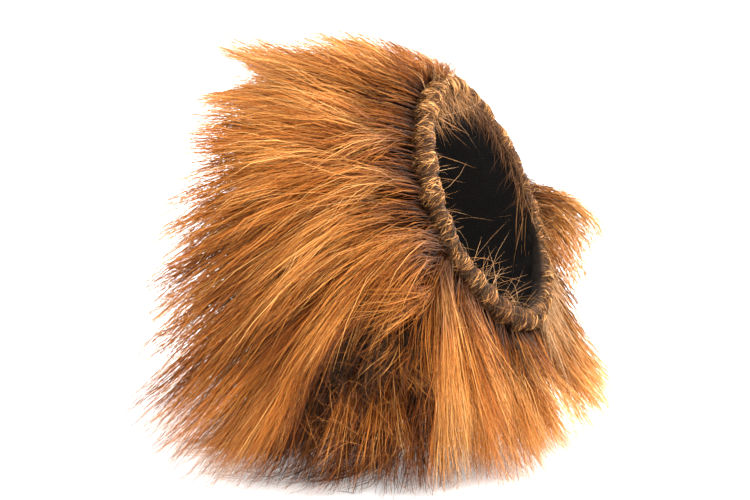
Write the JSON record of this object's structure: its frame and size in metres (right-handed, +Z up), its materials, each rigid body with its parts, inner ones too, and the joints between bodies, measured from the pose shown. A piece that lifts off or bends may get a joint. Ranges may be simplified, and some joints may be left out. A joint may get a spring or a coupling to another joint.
{
  "type": "pet lion mane wig",
  "caption": "Lion mane wig for a small pet: a knit tube open at face and neck, with a rolled gathered face hem and deep ginger fur pile all round.",
  "frame": {"origin": "centre of the floor under the mane's box, at the height it rests on", "axes": "+Z up, -Y out of the face opening, +X towards the wearer's left"},
  "size_m": [0.2564, 0.2067, 0.2087],
  "materials": {
    "rolled_fur": "short brown pile lying across the roll, matt",
    "black_knit": "near-black knit, matt",
    "black_tape": "near-black turned hem, matt",
    "ginger_pile": "long ginger pile, brown at the root and lighter at the tip, soft sheen"
  },
  "bodies": {
    "root": {"face_hem": "rolled_fur", "backing_tube": "black_knit", "neck_hem": "black_tape", "fur_pile": "ginger_pile"}
  },
  "joints": []
}
